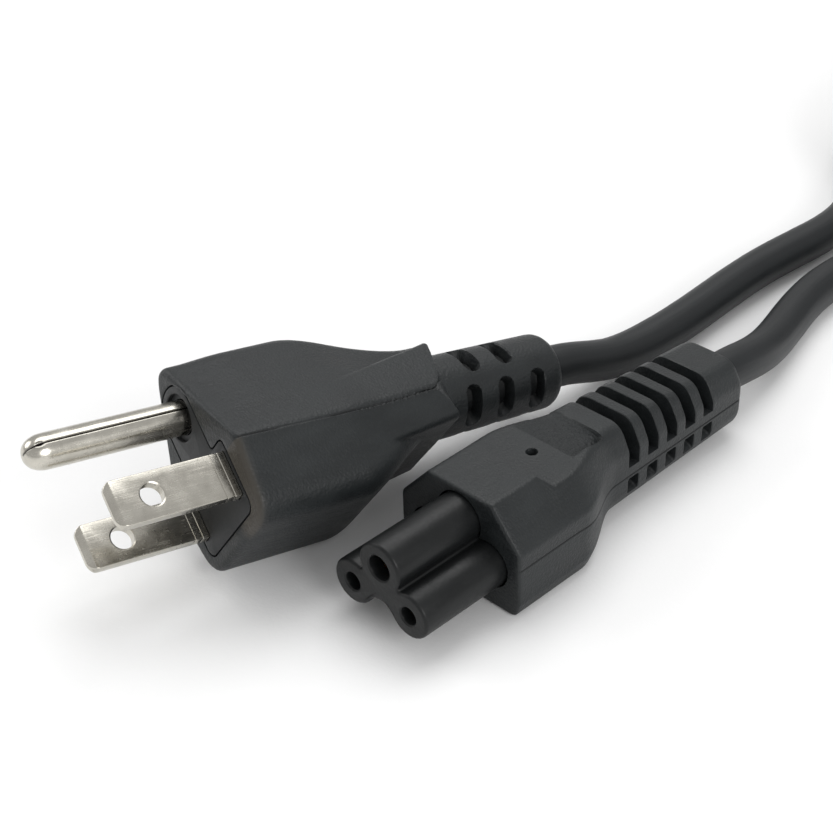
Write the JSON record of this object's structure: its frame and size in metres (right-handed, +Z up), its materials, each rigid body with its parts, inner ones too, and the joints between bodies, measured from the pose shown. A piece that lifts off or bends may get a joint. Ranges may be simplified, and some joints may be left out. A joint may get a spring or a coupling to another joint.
{
  "type": "cloverleaf power cord",
  "caption": "Black mains cord with a three-pin moulded plug at one end and a cloverleaf appliance connector at the other, its spare length coiled and tied.",
  "frame": {"origin": "centre of the plug and connector together, on the surface that they lie on", "axes": "+Z up; the connector's pin holes face -Y and its cord leaves along +Y; the plug lies at -X"},
  "size_m": [0.0603, 0.3142, 0.0261],
  "materials": {
    "black_pvc": "soft moulded PVC, fine satin texture",
    "cord_jacket": "extruded PVC jacket, soft sheen",
    "rigid_black": "rigid moulded plastic, satin",
    "bridge_plastic": "rigid moulded plastic, dull grey-brown",
    "tie_strap": "flat soft strap, matte",
    "nickel_plate": "nickel plate with fine drawing marks",
    "contact_brass": "stamped spring brass"
  },
  "bodies": {
    "root": {"plug_body": "black_pvc", "blade_bridge": "bridge_plastic", "line_blade": "nickel_plate", "neutral_blade": "nickel_plate", "ground_pin": "nickel_plate", "plug_cord": "cord_jacket", "cord_coil": "cord_jacket", "coil_tie": "tie_strap", "connector_cord": "cord_jacket", "connector_body": "black_pvc", "connector_insert": "rigid_black", "line_contact": "contact_brass", "neutral_contact": "contact_brass", "earth_contact": "contact_brass"}
  },
  "joints": []
}
